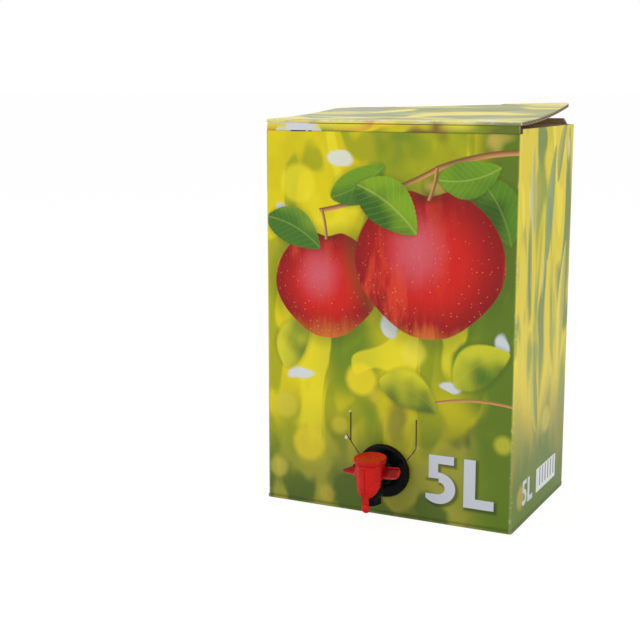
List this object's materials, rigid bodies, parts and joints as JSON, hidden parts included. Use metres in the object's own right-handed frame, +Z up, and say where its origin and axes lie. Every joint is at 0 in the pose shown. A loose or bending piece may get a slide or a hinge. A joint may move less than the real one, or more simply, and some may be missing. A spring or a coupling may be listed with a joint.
{
  "type": "bag in box carton with tap",
  "caption": "Printed corrugated carton with an ajar hinged lid, a filled film bag inside and a self-closing lever tap low on its front.",
  "frame": {"origin": "centre of the carton's base, on the surface that it stands on", "axes": "+Z up, -Y out of the front panel that carries the tap, +X to the right seen from the front"},
  "size_m": [0.182, 0.1585, 0.2795],
  "materials": {
    "printed_board": "glossy printed liner on corrugated board, raw grey-brown edges",
    "bag_film": "clear film, wrinkled and shiny",
    "white_plastic": "moulded",
    "black_plastic": "moulded, semi-gloss",
    "red_plastic": "moulded, semi-gloss",
    "elastomer": "soft, matt"
  },
  "bodies": {
    "box": {"carton": "printed_board", "liner_bag": "bag_film", "bag_gland": "white_plastic", "tap_body": "black_plastic", "tap_diaphragm": "elastomer"},
    "lid": {"lid_flap": "printed_board"},
    "lever": {"tap_lever": "red_plastic"},
    "valve": {"valve_stem": "white_plastic", "valve_plug": "elastomer"}
  },
  "joints": [
    {"name": "lid_hinge", "type": "hinge", "parent": "box", "child": "lid", "pos_m": [0, -0.0607, 0.269], "axis": [1, 0, 0], "range_deg": [-3.2, 135]},
    {"name": "lever_turn", "type": "hinge", "parent": "box", "child": "lever", "pos_m": [0.0008, -0.08542, 0.03125], "axis": [-0.0105, -0.0785, 0.9969], "range_deg": [0, 40]},
    {"name": "stem_lift", "type": "slide", "parent": "box", "child": "valve", "axis": [-0.0105, -0.0785, 0.9969], "range_m": [0, 0.0022]}
  ],
  "couplings": [
    {"joint": "stem_lift", "follows": "lever_turn", "m_per_rad": 0.0031513}
  ]
}
